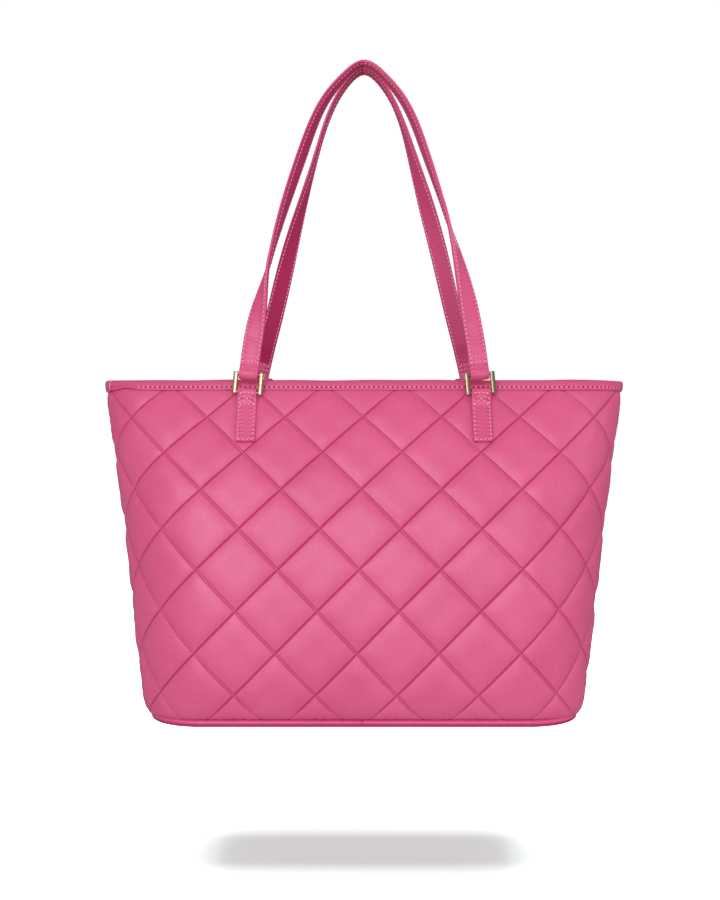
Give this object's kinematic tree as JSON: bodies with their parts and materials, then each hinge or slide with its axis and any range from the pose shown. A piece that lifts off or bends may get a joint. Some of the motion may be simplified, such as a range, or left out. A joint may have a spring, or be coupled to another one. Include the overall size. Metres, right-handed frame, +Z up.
{
  "type": "quilted tote bag",
  "caption": "Open-top tote bag in diamond-quilted leatherette, stuffed out, with twisted strap handles on metal rings, a bound mouth, a piped flat base and a lined inside with pockets.",
  "frame": {"origin": "middle of the base, on the surface that the bag stands on", "axes": "+X to the right as the front is looked at, -Y out of the front, +Z up"},
  "size_m": [0.47, 0.212, 0.5817],
  "materials": {
    "quilted_leather": "satin, embossed with fine grain",
    "trim_leather": "satin, fine grain",
    "base_leather": "satin, fine grain",
    "ring_metal": "polished, light gold",
    "lining_cloth": "matte woven twill",
    "base_board": "matte",
    "snap_metal": "polished, light gold",
    "washer_steel": "plain",
    "zip_tape": "matte woven",
    "zip_coil": "matte"
  },
  "bodies": {
    "bag": {"back_left_tab": "trim_leather", "back_panel": "quilted_leather", "back_right_tab": "trim_leather", "base_board": "base_board", "base_panel": "base_leather", "base_piping": "trim_leather", "front_left_tab": "trim_leather", "front_panel": "quilted_leather", "front_right_tab": "trim_leather", "lining": "lining_cloth", "mouth_facing": "trim_leather", "pocket_pouch": "lining_cloth", "pocket_zip_lower_coil": "zip_coil", "pocket_zip_lower_tape": "zip_tape", "pocket_zip_stops": "snap_metal", "pocket_zip_upper_coil": "zip_coil", "pocket_zip_upper_tape": "zip_tape", "rim_binding": "trim_leather", "slip_pocket_hem": "trim_leather", "slip_pocket_panel": "lining_cloth", "snap_socket": "snap_metal", "snap_socket_washer": "washer_steel", "snap_stud": "snap_metal", "snap_stud_washer": "washer_steel"},
    "back_handle": {"back_handle": "trim_leather"},
    "back_left_ring": {"back_left_ring": "ring_metal"},
    "back_right_ring": {"back_right_ring": "ring_metal"},
    "front_handle": {"front_handle": "trim_leather"},
    "front_left_ring": {"front_left_ring": "ring_metal"},
    "front_right_ring": {"front_right_ring": "ring_metal"},
    "zip_pull": {"pocket_zip_pull": "snap_metal"},
    "zip_slider": {"pocket_zip_slider": "snap_metal"}
  },
  "joints": [
    {"name": "front_left_ring_swing", "type": "hinge", "parent": "bag", "child": "front_left_ring", "pos_m": [-0.1016, -0.05318, 0.2815], "axis": [1, 0, 0], "range_deg": [0, 95]},
    {"name": "front_right_ring_swing", "type": "hinge", "parent": "bag", "child": "front_right_ring", "pos_m": [0.1016, -0.05318, 0.2815], "axis": [1, 0, 0], "range_deg": [0, 95]},
    {"name": "front_handle_swing", "type": "hinge", "parent": "front_left_ring", "child": "front_handle", "pos_m": [-0.1016, -0.05098, 0.29715], "axis": [1, 0, 0], "range_deg": [0, 70]},
    {"name": "back_left_ring_swing", "type": "hinge", "parent": "bag", "child": "back_left_ring", "pos_m": [-0.1016, 0.05318, 0.2815], "axis": [-1, 0, 0], "range_deg": [0, 95]},
    {"name": "back_right_ring_swing", "type": "hinge", "parent": "bag", "child": "back_right_ring", "pos_m": [0.1016, 0.05318, 0.2815], "axis": [-1, 0, 0], "range_deg": [0, 95]},
    {"name": "back_handle_swing", "type": "hinge", "parent": "back_left_ring", "child": "back_handle", "pos_m": [-0.1016, 0.05098, 0.29715], "axis": [-1, 0, 0], "range_deg": [0, 70]},
    {"name": "pocket_zip_slide", "type": "slide", "parent": "bag", "child": "zip_slider", "axis": [1, 0, 0], "range_m": [0, 0.16]},
    {"name": "zip_pull_swing", "type": "hinge", "parent": "zip_slider", "child": "zip_pull", "pos_m": [-0.08, 0.07517, 0.20209], "axis": [1, 0, 0], "range_deg": [-100, 12]}
  ],
  "couplings": [
    {"joint": "front_right_ring_swing", "follows": "front_left_ring_swing", "ratio": 1},
    {"joint": "back_right_ring_swing", "follows": "back_left_ring_swing", "ratio": 1}
  ]
}
